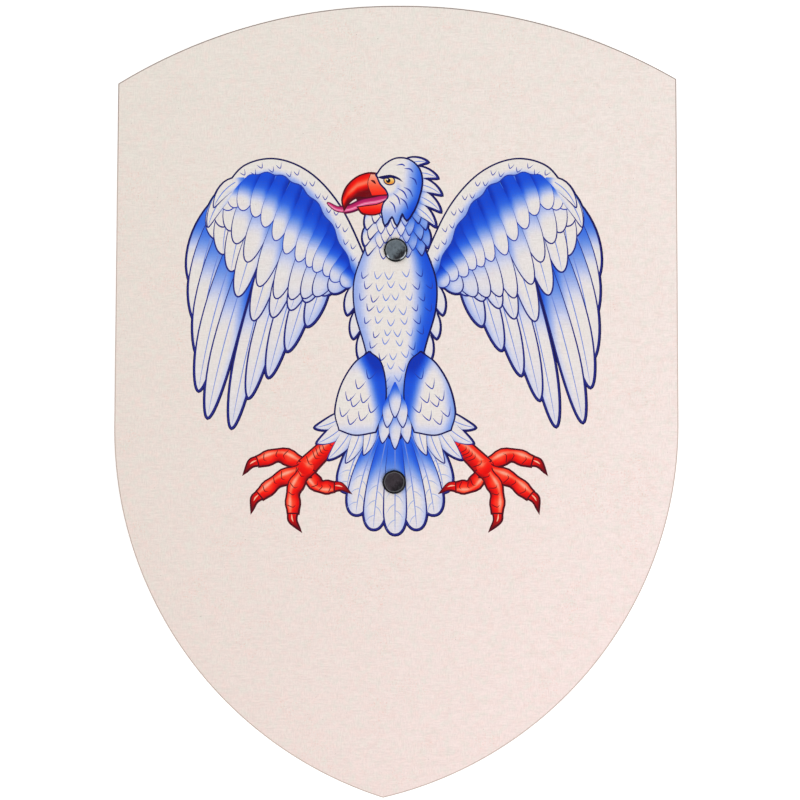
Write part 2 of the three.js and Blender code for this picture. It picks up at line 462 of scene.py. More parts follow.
def toe(points, width, curl, side):
    """A toe along points, with a claw that curls to its right (1) or left (-1). The points and the curl are
    those of the leg on the right, and side is the leg's side."""
    line = curve(points, 6) * (side, 1)
    t = np.linspace(0, 1, len(line))
    half = width / 2 * (1 - 0.25 * t) * (1 + 0.13 * np.cos(5 * pi * t))
    find = along(line)

    def shade(p):
        share, off = find(p)
        across = off / (width / 2) * side
        value = 0.50 + 0.36 * ease(0.1, 1, across) - 0.42 * hump(across, -0.40, 0.26)
        return ramp(REDS, value - 0.12 * np.cos(5 * pi * share))
    tip = line[-1]
    way = unit(line[-1] - line[-4])
    out = right_of(way) * curl * side
    back, end = tip - way * 0.9, tip + way * 8.2 + out * 2.8
    claw = traced(back - out * 2.1, (6, tip - out * 1.9 + way * 4.0, end),
                  (6, tip + out * 1.2 + way * 3.5, back + out * 2.1))
    inked(claw, lambda p: ramp(REDS, 0.62 + 0.05 * ((p - tip) @ way)), 0.65, MAROON, True)
    glint = curve([tip - out * 0.7 + way * 0.8, tip - out * 0.6 + way * 2.8, tip + way * 4.6], 4)
    stroke(glint, 0.7, GLINT, 0.3, 0.1)
    inked(tube(line, half), shade, 0.7, MAROON, True)
    rings(line, half, (0.2, 0.4, 0.6, 0.8))


def leg(side):
    flip = np.array([side, 1.0])
    ankle = flip * (45, -33)
    shank = curve([(20, -14), (33, -22), (45, -33)], 8) * flip
    half = 4.6 - 0.7 * np.sin(pi * np.linspace(0, 1, len(shank)))
    find = along(shank)

    def shade_shank(p):
        off = find(p)[1] * side
        return ramp(REDS, 0.50 + 0.34 * ease(0.0, 4.2, off) - 0.42 * hump(off, -1.7, 1.1))

    def shade_ankle(p):
        down = (p - ankle) @ np.array([side * 0.5, -0.8])
        glow = np.linalg.norm(p - ankle - (side * -1.0, 1.2), axis=1)
        return ramp(REDS, 0.54 + 0.05 * down - 0.34 * hump(glow, 0, 1.5))
    toe([(46, -33), (39, -42), (31, -43)], 6.6, -1, side)
    toe([(44, -34), (57, -27), (69, -30)], 7.3, 1, side)
    toe([(44, -34), (58, -39), (68, -47)], 7.4, 1, side)
    inked(tube(shank, half), shade_shank, 0.7, MAROON, True)
    toe([(44, -33), (51, -44), (51.5, -56)], 7.2, 1, side)
    fill(spot(*ankle, 3.9, 3.7), shade_ankle, True)
    rings(shank, half, np.linspace(0.45, 0.86, 6))
    # thigh: long tufts over the shank, then short feathers up to the body
    for root, tip, wide in (((24, -6), (40.5, -13), 6.5), ((24, -10), (39.5, -21), 7.5),
                            ((21, -12), (34, -29), 7.5), ((17, -12), (25, -31), 7),
                            ((12, -10), (16, -27), 6.5)):
        feather(root * flip, tip * flip, wide, side * 1.2, 0.10, side, (0, 0.35), 0.45, belly=0.42, neck=0.75,
                point=1.45, steps=13, ink=0.7)
    thigh = traced((13, 25), (6, (20.5, 19), (27, 8), (30, -5), (28, -14)), (5, (20, -16.5), (10, -15)),
                   (5, (5.5, -3), (5, 9), (7.5, 20), (13, 25))) * flip

    def shade_thigh(p):
        x, y = side * p[:, 0], p[:, 1]
        value = 0.80 * ease(12, 2, x - 0.25 * (y + 14)) + 0.40 * ease(8, 26, y)
        value += 0.28 * ease(-6, -17, y) + 0.50 * ease(21, 31, x + 0.1 * y) * (side > 0)
        return ramp(BLUES, value)
    inked(thigh, shade_thigh, 0.8)
    for place in ((23, 3), (26, -5), (18, 9), (20.5, 0), (15.5, 2), (22, -9), (16.5, -7), (12.5, 14),
                  (11.5, -3)):
        mark(place * flip, flip * (0.30, -0.95), 3.4)


BODY_Y = (-18, -8, 4, 16, 30, 46, 60, 72, 86, 98)
BODY_HALF = (2.5, 7, 10, 12, 15.5, 20, 20.5, 17, 11, 9)


def body():
    for side in (-1, 1):
        for x0, y0, x1, y1, wide in ((16, 60, 24, 44, 7), (14, 48, 21, 32, 7), (11, 38, 17.5, 21, 6.5)):
            feather((side * x0, y0), (side * x1, y1), wide, side * -1.5, 0.12, side, (0, 0.4), 0, belly=0.45,
                    neck=0.8, point=1.5, steps=12, ink=0.75)
    half = curve(list(zip(BODY_HALF, BODY_Y))[::-1], 6)
    outline = np.vstack([half, (half * (-1, 1))[::-1]])

    def shade(p):
        x, y = p.T
        edge = x / np.interp(y, BODY_Y, BODY_HALF)
        value = 0.82 * ease(0.20, 0.98, edge) + 0.40 * ease(-0.45, -1.05, edge)
        return ramp(BLUES, value + 0.50 * ease(26, 0, y) + 0.50 * ease(72, 90, y))
    inked(outline, shade, 0.9)
    # marks of the breast feathers, in staggered rows
    for r in range(13):
        y = -6 + 5.9 * r
        wide = np.interp(y, BODY_Y, BODY_HALF) - 2.4
        count = max(2, int(round(2 * wide / 6.4)))
        for k in range(count):
            x = (2 * (k + 0.25 + 0.5 * (r % 2)) / count - 1) * wide
            place = np.array([x, y]) + chance.normal(0, 0.55, 2)
            ink = INK_BLUE if abs(x) > 0.55 * wide else SOFT_BLUE
            mark(place, (0.5 * x / wide, -1), 2.6 + chance.normal(0, 0.25), 0.6, ink)


def lap():
    """The feathers between the thighs, over the root of the tail."""
    for x, top, drop in ((-4, -4, 17), (4, -4, 17), (0, -2, 22), (-2.5, 4, 17), (2.5, 4, 17), (0, 10, 18)):
        feather((x, top), (x * 1.6, top - drop), 6.2, 0.0, 0.16, 1, (0, 0.6), 0, belly=0.5, neck=0.12,
                point=1.5, steps=12, ink=0.7)


def hackles():
    """Pointed neck feathers that hang over the breast, lowest row first. The outer ones are longer."""
    for r in range(6):
        y = 86 + 4.0 * r
        wide = 11.5 - 0.75 * r
        for x in np.linspace(-1, 1, 6) if r % 2 else np.linspace(-0.8, 0.8, 5):
            reach, ink, colour = (5.6, 0.8, INNER_NAVY) if abs(x) > 0.75 else (3.6, 0.6, INK_BLUE)
            root = (x * (wide - 2.2) + 0.5, y)
            tip = np.array([x * (wide + reach) + 0.5, y - 15 + 3.5 * abs(x)]) + chance.normal(0, 0.45, 2)
            feather(root, tip, 6.4, -x * 1.8, 0.40 * ease(0.0, 1, x + 0.2), 1, (0.1, 0.85), 0, belly=0.42,
                    neck=0.7, point=1.4, steps=12, ink=ink, colour=colour, depth=0.40, fade=0.45)


def beak():
    mouth = traced((-3, 104.5), (4, (-10, 104.5), (-19, 103.5)), (4, (-17, 99.5), (-9, 98.5), (-3, 104.5)))
    inked(mouth, flat(MOUTH), 0.5, MAROON)
    tongue = curve([(-3, 103.2), (-9, 101.6), (-16, 100.4), (-23, 97.6), (-29, 97.4), (-34, 100.4)], 7)
    find = along(tongue)

    def shade_tongue(p):
        off = find(p)[1]
        return ramp(PINKS, 0.62 - 0.55 * hump(off, -0.5, 0.45) + 0.12 * off)
    taper = 1.9 * np.sqrt(1 - np.linspace(0, 1, len(tongue))) + 0.15
    inked(tube(tongue, taper), shade_tongue, 0.55, PLUM, True)
    lower = traced((-2.5, 103), (4, (-8, 99.8), (-14, 98.8), (-18.5, 98.2)),
                   (4, (-16, 95.4), (-10, 94.8), (-4, 97.5)), (3, (-2.5, 103)))
    inked(lower, lambda p: ramp(REDS, 0.5 - 0.1 * (p[:, 1] - 97.5)), 0.7, MAROON, True)
    brow_end, gape = (-7.5, 114.5), (-2.0, 105)
    upper = traced(brow_end, (5, (-13, 115.2), (-19, 113.2), (-24, 108.6), (-26.3, 102.8), (-25.6, 97.6)),
                   (5, (-23.2, 101.4), (-19.5, 103.6), (-14, 103.4), (-8.5, 104.6), gape), (3, brow_end))

    def shade_upper(p):
        x, y = p.T
        ridge = np.interp(x, (-26, -24, -19, -13, -7), (102, 106, 110.5, 112.5, 112))
        value = 0.50 + 0.055 * np.abs(y - ridge) ** 1.3 - 0.42 * hump(y, ridge - 1.4, 1.5)
        return ramp(REDS, value + 0.25 * ease(-21, -26, x))
    inked(upper, shade_upper, 0.75, MAROON, True)
    cere = traced(brow_end, (2, (-12.2, 114.9)), (4, (-13.6, 110), (-11.6, 104.2)), (2, gape), (2, brow_end))
    inked(cere, lambda p: ramp(REDS, 0.12 + 0.05 * (112 - p[:, 1])), 0.4, MAROON, True)
    nostril = curve([(-12.2, 111.8), (-10.8, 111.3), (-9.8, 110.0)], 4)
    stroke(nostril, 1.1, MAROON, 0.3, 0.3)


def head():
    for root, tip, wide in (((7, 100), (20.5, 88.5), 6), ((8, 105), (23, 96), 6.5),
                            ((8, 110), (23.5, 104.5), 6.5), ((6, 115), (21.5, 113), 6),
                            ((3, 118), (16.5, 121), 5)):
        feather(root, tip, wide, -1.6, 0.06, 1, (0.1, 0.5), 0.45, belly=0.38, neck=0.7, point=1.35, steps=13)
    beak()
    # from the brow over the crown and down the nape, along the ruff, and up the throat
    outline = traced((-9, 114.6), (5, (-5.5, 119.2), (0.5, 122.6), (7, 122), (12, 117.5), (13.4, 110.5),
                                   (11.5, 102), (9.5, 97)),
                     (3, (6, 92), (3.5, 95.5), (1, 89.5), (-1.5, 94), (-5, 89.5), (-6.5, 96)),
                     (4, (-5.6, 100), (-3.2, 103.4), (-4.2, 107), (-7.2, 110.4), (-9, 114.6)))

    def shade(p):
        x, y = p.T
        value = 0.72 * ease(0, 15, x + 0.10 * (112 - y)) + 0.42 * ease(106, 91, y)
        value += 0.25 * hump(np.hypot(x + 3, y - 109), 4.4, 1.6) * ease(112.5, 108.5, y)
        return ramp(BLUES, value)
    inked(outline, shade, 0.95, NAVY, True)
    # the eye under a heavy brow, and tufts on the cheek and crown
    inked(spot(-2.9, 111.7, 2.5, 1.8, lean=-0.15),
          lambda p: ramp(AMBERS, 0.5 + (111.7 - p[:, 1]) / 3), 0.6, NAVY, True)
    fill(spot(-3.4, 111.7, 1.15, 1.2, 14), flat(BLACK))
    fill(spot(-3.9, 112.2, 0.38, 0.38, 8), flat(WHITE))
    brow = traced((-9.2, 113.4), (5, (-6, 114.2), (-2, 114.6), (1.8, 113.2), (4.2, 110.8)),
                  (5, (1, 112.4), (-2.5, 113.0), (-6, 112.4), (-9.2, 113.4)))
    fill(brow, flat(NAVY))
    for x0, y0, x1, y1 in ((1.0, 108, 6.2, 102.5), (4.2, 108.5, 9.0, 103.5), (-1.2, 105.5, 2.6, 99.5),
                           (2.2, 103.2, 6.6, 97.2), (-3, 101.5, 0.2, 95.5), (7.2, 113.5, 11, 109.5),
                           (4.5, 117.8, 9.2, 115.8), (0.5, 119.4, 5, 119)):
        tuft = [(x0, y0), ((x0 + x1) / 2 + 0.8, (y0 + y1) / 2 + 0.7), (x1, y1)]
        stroke(curve(tuft, 4), 0.75, INK_BLUE, 0.1, 0.4)


def draw_eagle():
    wing(-1)
    wing(1)
    tail()
    body()
    leg(-1)
    leg(1)
    lap()
    hackles()
    head()
    layers[:0] = rims


# From drawn layers to a mesh that carries their colours
def inside(points, outline):
    """Which points lie inside a closed outline. An outline that overlaps itself is filled there too."""
    px, py = points[:, :1], points[:, 1:]
    ax, ay = outline.T
    bx, by = np.roll(outline, -1, 0).T
    left = (bx - ax) * (py - ay) - (px - ax) * (by - ay)
    up = (ay <= py) & (by > py) & (left > 0)
    down = (ay > py) & (by <= py) & (left < 0)
    return up.sum(1) != down.sum(1)


def topmost(points):
    """The index of the highest layer at each point, or -1 on the bare board."""
    top = np.full(len(points), -1)
    waiting = np.arange(len(points))
    for k in range(len(layers) - 1, -1, -1):
        outline = layers[k][0]
        p = points[waiting]
        near = waiting[((p >= outline.min(0)) & (p <= outline.max(0))).all(1)]
        if len(near):
            top[near[inside(points[near], outline)]] = k
            waiting = waiting[top[waiting] < 0]
    return top


def visible_edges():
    """The points of the outlines, and those of their edges that no higher layer hides."""
    points = np.vstack([outline for outline, _, _ in layers])
    owner = np.concatenate([np.full(len(outline), k) for k, (outline, _, _) in enumerate(layers)])
    first = np.concatenate([[0], np.cumsum([len(outline) for outline, _, _ in layers])])
    start = np.arange(len(points))
    end = start + 1
    end[first[1:] - 1] = first[:-1]
    middles = (points[start] + points[end]) / 2
    hidden = topmost(points) > owner
    shown = ~(hidden[start] & hidden[end] & (topmost(middles) > owner))
    return points, np.stack([start, end], 1)[shown]


def shading_points():
    """A lattice of points over the emblem, twice as close where its shading is fine."""
    step = COARSE_SPACING / 2
    rise = step * sqrt(0.75)
    drawn = np.vstack([outline for outline, _, _ in layers])
    low, high = drawn.min(0), drawn.max(0)
    columns, rows = ((high - low) / (step, rise)).astype(int) + 1
    column, row = (grid.ravel() for grid in np.meshgrid(np.arange(columns), np.arange(rows)))
    points = np.stack([low[0] + step * (column + 0.5 * (row % 2)), low[1] + rise * row], 1)
    top = topmost(points)
    fine = np.array([layer[2] for layer in layers])[top]
    coarse = (column % 2 == 0) & (row % 2 == 0)
    return points[(top >= 0) & (fine | coarse)]


def to_linear(colour):
    c = np.clip(colour, 0, 1)
    return np.where(c <= 0.04045, c / 12.92, ((c + 0.055) / 1.055) ** 2.4)


def corner_inks(corners, top):
    """The ink at three corners of each triangle: linear red, green and blue, and how much of it there is.
    Pale inks are thin, and let the ground through."""
    inks = np.zeros((len(corners), 3, 4))
    order = np.argsort(top, kind="stable")
    bounds = np.searchsorted(top[order], np.arange(len(layers) + 1))
    for k, (low, high) in enumerate(zip(bounds[:-1], bounds[1:])):
        if high > low:
            chosen = order[low:high]
            colours = layers[k][1](corners[chosen].reshape(-1, 2)).reshape(-1, 3, 3)
            inks[chosen, :, :3] = to_linear(colours)
            inks[chosen, :, 3] = 1 - 0.5 * ease(0.66, 0.92, colours.min(2))
    return inks


# The board's outline and faces
def arc(start, end, radius):
    """The points of an arc that bulges to the right of the way from start to end, without the end itself."""
    start, end = np.array(start), np.array(end)
    half = np.linalg.norm(end - start) / 2
    centre = (start + end) / 2 - right_of(unit(end - start)) * sqrt(radius ** 2 - half ** 2)
    sweep = 2 * asin(half / radius)
    steps = max(2, round(radius * sweep / ARC_STEP))
    a = np.arange(steps)[:, None] * sweep / steps
    x, y = start - centre
    return centre + np.hstack([x * np.cos(a) - y * np.sin(a), x * np.sin(a) + y * np.cos(a)])


def board_outline():
    """Counter-clockwise from the right-hand top corner."""
    return np.vstack([arc(RIGHT_CORNER, APEX, TOP_RADIUS_RIGHT),
                      arc(APEX, LEFT_CORNER, TOP_RADIUS_LEFT),
                      arc(LEFT_CORNER, LEFT_SHOULDER, STRAIGHT),
                      arc(LEFT_SHOULDER, TIP, BOTTOM_RADIUS_LEFT),
                      arc(TIP, RIGHT_SHOULDER, BOTTOM_RADIUS_RIGHT),
                      arc(RIGHT_SHOULDER, RIGHT_CORNER, STRAIGHT)])


def inset(outline, distance):
    """A counter-clockwise outline moved inwards."""
    return outline - outwards(outline) * distance


def ring_edges(first, count):
    index = first + np.arange(count)
    return np.stack([index, np.roll(index, -1)], 1)


def bore_circles():
    radius = SHANK_RADIUS + GAP
    return [spot(x, y, radius, radius, BORE_SIDES) for x, y in SCREW_PLACES.values()]


def triangulated(rim, more_points=(), more_edges=()):
    """Triangles that fill the rim, apart from the two bores, with more points and edges in them. Also gives,
    for each point of the rim and the bores, its place among the new points."""
    loops = [rim] + bore_circles()
    points = np.vstack(loops)
    edges, first = [], 0
    for loop in loops:
        edges.append(ring_edges(first, len(loop)))
        first += len(loop)
    if len(more_points):
        edges.append(np.asarray(more_edges) + first)
        points = np.vstack([points, more_points])
    result = delaunay_2d_cdt([Vector(p) for p in points], np.vstack(edges).tolist(), [], 0, 1e-4)
    new_points, triangles, origins = np.array(result[0]), np.array(result[2]), result[3]
    place = np.zeros(first, int)
    for k, sources in enumerate(origins):
        for source in sources:
            if source < first:
                place[source] = k
    middles = new_points[triangles].mean(1)
    kept = inside(middles, rim)
    for bore in loops[1:]:
        kept &= ~inside(middles, bore)
    return new_points, triangles[kept], place


def lifted(points, height):
    """Flat points at a height."""
    return np.hstack([points, np.full((len(points), 1), height)])


def band_faces(upper, lower, outward=True):
    """Four-cornered faces between two rings of point numbers that run counter-clockwise seen from above."""
    faces = np.stack([upper, lower, np.roll(lower, -1), np.roll(upper, -1)], 1)
    return faces if outward else faces[:, ::-1]


def add_mesh(name, points, faces, materials, kinds=None):
    """An object from points in millimetres and faces. kinds gives each face its material's number."""
    mesh = bpy.data.meshes.new(name)
    mesh.from_pydata((np.asarray(points) * MM).tolist(), [], faces)
    for material in materials:
        mesh.materials.append(material)
    if kinds is not None:
        mesh.polygons.foreach_set("material_index", kinds)
    piece = bpy.data.objects.new(name, mesh)
    bpy.context.scene.collection.objects.link(piece)
    return piece


def board_profile():
    """The board's edge from the front rim to the back rim: how far inside the outline, and how high."""
    turn = np.linspace(0, pi / 2, EASE_STEPS + 1)
    inward = EDGE_EASE * (1 - np.sin(turn))
    drop = EDGE_EASE * (1 - np.cos(turn))
    wall = np.linspace(BOARD_FRONT - EDGE_EASE, BOARD_BACK + EDGE_EASE, WALL_STEPS + 1)[1:-1]
    return (list(zip(inward, BOARD_FRONT - drop)) + [(0.0, z) for z in wall]
            + list(zip(inward, BOARD_BACK + drop))[::-1])


def band_map(start, end, upper, lower):
    """Places on a map for the corners of band_faces, from each face's ends and the heights of its sides."""
    corners = (start, upper), (start, lower), (end, lower), (end, upper)
    return np.stack([np.stack(corner, 1) for corner in corners], 1)


def lay_out_map(mesh, front_corners, back_corners):
    """A texture map with the front at its full height on the left. The column that is left holds the back,
    the edge cut into strips a little shorter than it is wide, and the walls of the bores."""
    number = np.empty(len(mesh.loops), int)
    mesh.loops.foreach_get("vertex_index", number)
    places = np.array([vertex.co[:2] for vertex in mesh.vertices])[number] / MM + (HALF_WIDTH, HALF_HEIGHT)
    scale = (1 - 2 * MAP_GAP) / (2 * HALF_HEIGHT)
    column = 3 * MAP_GAP + 2 * HALF_WIDTH * scale
    wide = 1 - MAP_GAP - column
    back_scale = wide / (2 * HALF_WIDTH)
    front = MAP_GAP + places[:front_corners] * scale
    back = (column, MAP_GAP) + places[-back_corners:] * back_scale

    outline = board_outline()
    length = np.linalg.norm(np.roll(outline, -1, 0) - outline, axis=1)
    run = np.concatenate([[0], np.cumsum(length)])
    strip = (run[:-1] / (wide / scale - ARC_STEP - 1)).astype(int)
    first = run[np.searchsorted(strip, strip)]
    start, end = column + (run[:-1] - first) * scale, column + (run[1:] - first) * scale
    profile = np.array(board_profile())
    depth = np.concatenate([[0], np.cumsum(np.linalg.norm(np.diff(profile, axis=0), axis=1))])
    depth *= scale * PLIES_MAGNIFIED
    base = 2 * MAP_GAP + 2 * HALF_HEIGHT * back_scale
    tall = depth[-1] + MAP_GAP
    bands = [band_map(start, end, base + strip * tall + upper, base + strip * tall + lower)
             for upper, lower in zip(depth, depth[1:])]
    turn = 2 * pi * (SHANK_RADIUS + GAP) * scale * np.arange(BORE_SIDES + 1) / BORE_SIDES
    for bore in range(len(SCREW_PLACES)):
        level = np.full(BORE_SIDES, base + (strip[-1] + 1 + bore) * tall)
        bands.append(band_map(column + turn[:-1], column + turn[1:], level, level + depth[-1])[:, ::-1])
    spread = np.vstack([front, np.vstack(bands).reshape(-1, 2), back])
    mesh.uv_layers.new(name=MAP).uv.foreach_set("vector", spread.ravel())


def make_board(printed_face, plies, plain_back):
    """The board as one closed mesh. Its front's triangles follow the drawing and carry its inks."""
    draw_eagle()
    emblem_points, emblem_edges = visible_edges()
    used = np.unique(emblem_edges)
    number = np.zeros(len(emblem_points), int)
    number[used] = np.arange(len(used))
    drawing = np.vstack([emblem_points[used], shading_points()]) + (EMBLEM_X, 0)

    outline = board_outline()
    rim = inset(outline, EDGE_EASE)
    front, front_faces, front_place = triangulated(rim, drawing, number[emblem_edges])
    back, back_faces, back_place = triangulated(rim)
    corners = front[front_faces] - (EMBLEM_X, 0)
    inks = corner_inks(corners, topmost(corners.mean(1)))

    points = [lifted(front, BOARD_FRONT), lifted(back, BOARD_BACK)]
    total = len(front) + len(back)
    rings = [front_place[:len(rim)]]
    for inward, height in board_profile()[1:-1]:
        points.append(lifted(inset(outline, inward), height))
        rings.append(total + np.arange(len(outline)))
        total += len(outline)
    rings.append(len(front) + back_place[:len(rim)])
    bands = [band_faces(upper, lower) for upper, lower in zip(rings, rings[1:])]
    for bore in range(len(SCREW_PLACES)):
        ring = slice(len(rim) + bore * BORE_SIDES, len(rim) + (bore + 1) * BORE_SIDES)
        bands.append(band_faces(front_place[ring], len(front) + back_place[ring], outward=False))
    bands = np.vstack(bands)
    faces = front_faces.tolist() + bands.tolist() + (back_faces[:, ::-1] + len(front)).tolist()
    kinds = np.repeat([0, 1, 2], [len(front_faces), len(bands), len(back_faces)])
    board = add_mesh("printed_board", np.vstack(points), faces, [printed_face, plies, plain_back], kinds)
    board.data.polygons.foreach_set("use_smooth", kinds == 1)
    values = np.zeros((len(board.data.loops), 4))
    values[:3 * len(front_faces)] = inks.reshape(-1, 4)
    ink = board.data.attributes.new(INK, "FLOAT_COLOR", "CORNER")
    ink.data.foreach_set("color", values.ravel())
    lay_out_map(board.data, 3 * len(front_faces), 3 * len(back_faces))
    return board


# The grip: its outline seen from the side, carried across its width, with all edges rounded
def quarter(x, y, radius, first, last):
    """A quarter of a circle about x and y, from one angle to another."""
    a = np.radians(np.linspace(first, last, QUARTER_STEPS + 1))
    return np.stack([x + radius * np.cos(a), y + radius * np.sin(a)], 1)


def grip_outline():
    """Along the grip's length and up from its back, counter-clockwise seen from the right."""
    (_, upper), (_, lower) = SCREW_PLACES.values()
    half = (upper - lower + FOOT_LENGTH) / 2
    opening = half - FOOT_LENGTH
    return np.vstack([
        quarter(-half + HEEL_RADIUS, HEEL_RADIUS, HEEL_RADIUS, 180, 270),
        quarter(half - HEEL_RADIUS, HEEL_RADIUS, HEEL_RADIUS, 270, 360),
        [(half, GRIP_DEPTH), (opening, GRIP_DEPTH)],
        quarter(opening - FINGER_RADIUS, BAR_DEPTH + FINGER_RADIUS, FINGER_RADIUS, 360, 270),
        quarter(-opening + FINGER_RADIUS, BAR_DEPTH + FINGER_RADIUS, FINGER_RADIUS, 270, 180),
        [(-opening, GRIP_DEPTH), (-half, GRIP_DEPTH)]])


def lathe(name, profile, sides, materials):
    """A closed round solid about the Z axis. The profile runs up from the axis and back to it."""
    inner = np.array(profile[1:-1])
    a = np.linspace(0, 2 * pi, sides, endpoint=False)
    rings = [np.stack([r * np.cos(a), r * np.sin(a), np.full(sides, z)], 1) for r, z in inner]
    points = np.vstack(rings + [[(0, 0, profile[0][1]), (0, 0, profile[-1][1])]])
    numbers = np.arange(len(inner) * sides).reshape(len(inner), sides)
    faces = np.vstack([band_faces(upper, lower) for lower, upper in zip(numbers, numbers[1:])]).tolist()
    bottom, top = len(points) - 2, len(points) - 1
    faces += [(bottom, b, a) for a, b in ring_edges(0, sides).tolist()]
    faces += [(top, a, b) for a, b in ring_edges(numbers[-1, 0], sides).tolist()]
    return add_mesh(name, points, faces, materials)


def cut_bores(piece):
    """Bores for both screws, from the grip's top down."""
    depth = SHANK_REACH + GAP
    radius = SHANK_RADIUS + GAP
    for x, y in SCREW_PLACES.values():
        profile = [(0, GRIP_DEPTH - depth), (radius, GRIP_DEPTH - depth), (radius, GRIP_DEPTH + depth),
                   (0, GRIP_DEPTH + depth)]
        cutter = lathe("cutter", profile, BORE_SIDES, piece.data.materials)
        cutter.location = (x * MM, y * MM, 0)
        bpy.context.view_layer.update()
        cut = piece.modifiers.new("bore", "BOOLEAN")
        cut.object = cutter
        cut.operation = "DIFFERENCE"
        cut.solver = "EXACT"
        with bpy.context.temp_override(object=piece):
            bpy.ops.object.modifier_apply(modifier=cut.name)
        bpy.data.objects.remove(cutter)


def smooth_by_angle(piece, degrees):
    piece.data.shade_smooth()
    piece.data.set_sharp_from_angle(angle=radians(degrees))


def make_grip(wood):
    (upper_x, upper_y), (lower_x, lower_y) = SCREW_PLACES.values()
    outline = grip_outline()
    turn = np.linspace(0, pi / 2, ROUNDING_STEPS + 1)
    across = GRIP_WIDTH / 2 - GRIP_ROUNDING * (1 - np.cos(turn))
    inward = GRIP_ROUNDING * (1 - np.sin(turn))
    sections = list(zip(-across, inward)) + list(zip(across, inward))[::-1]
    points, numbers = [], []
    for x, inset_by in sections:
        numbers.append(len(points) * len(outline) + np.arange(len(outline)))
        section = inset(outline, inset_by)
        points.append(np.hstack([np.full((len(outline), 1), x), section]))
    points = np.vstack(points) + ((upper_x + lower_x) / 2, (upper_y + lower_y) / 2, 0)
    faces = [face for lower, upper in zip(numbers, numbers[1:]) for face in band_faces(upper, lower).tolist()]
    faces += [numbers[0][::-1].tolist(), numbers[-1].tolist()]
    grip = add_mesh("wooden_grip", points, faces, [wood])
    cut_bores(grip)
    smooth_by_angle(grip, 30)
    return grip


def screw_profile():
    """From the shank's blunt point up to the middle of the button head."""
    seat = BOARD_FRONT + GAP
    tip = GRIP_DEPTH - SHANK_REACH
    turn = np.linspace(0, HEAD_TURN, ROUNDING_STEPS + 1)
    edge = np.stack([HEAD_RADIUS - HEAD_ROUNDING * (1 - np.cos(turn)),
                     seat + HEAD_WALL + HEAD_ROUNDING * np.sin(turn)], 1)
    share = np.linspace(1, 0, ROUNDING_STEPS + 1)[1:]
    crown = np.stack([edge[-1, 0] * share, edge[-1, 1] + HEAD_CROWN * (1 - share ** 2)], 1)
    shank = [(0, tip), (SHANK_RADIUS / 2, tip), (SHANK_RADIUS, tip + SCREW_POINT), (SHANK_RADIUS, seat),
             (HEAD_RADIUS, seat)]
    return shank + edge.tolist() + crown.tolist()


def make_screw(name, node, paint):
    x, y = SCREW_PLACES[node]
    screw = lathe(name, screw_profile(), SCREW_SIDES, [paint])
    smooth_by_angle(screw, 35)
    screw.location = (x * MM, y * MM, 0)
    return screw


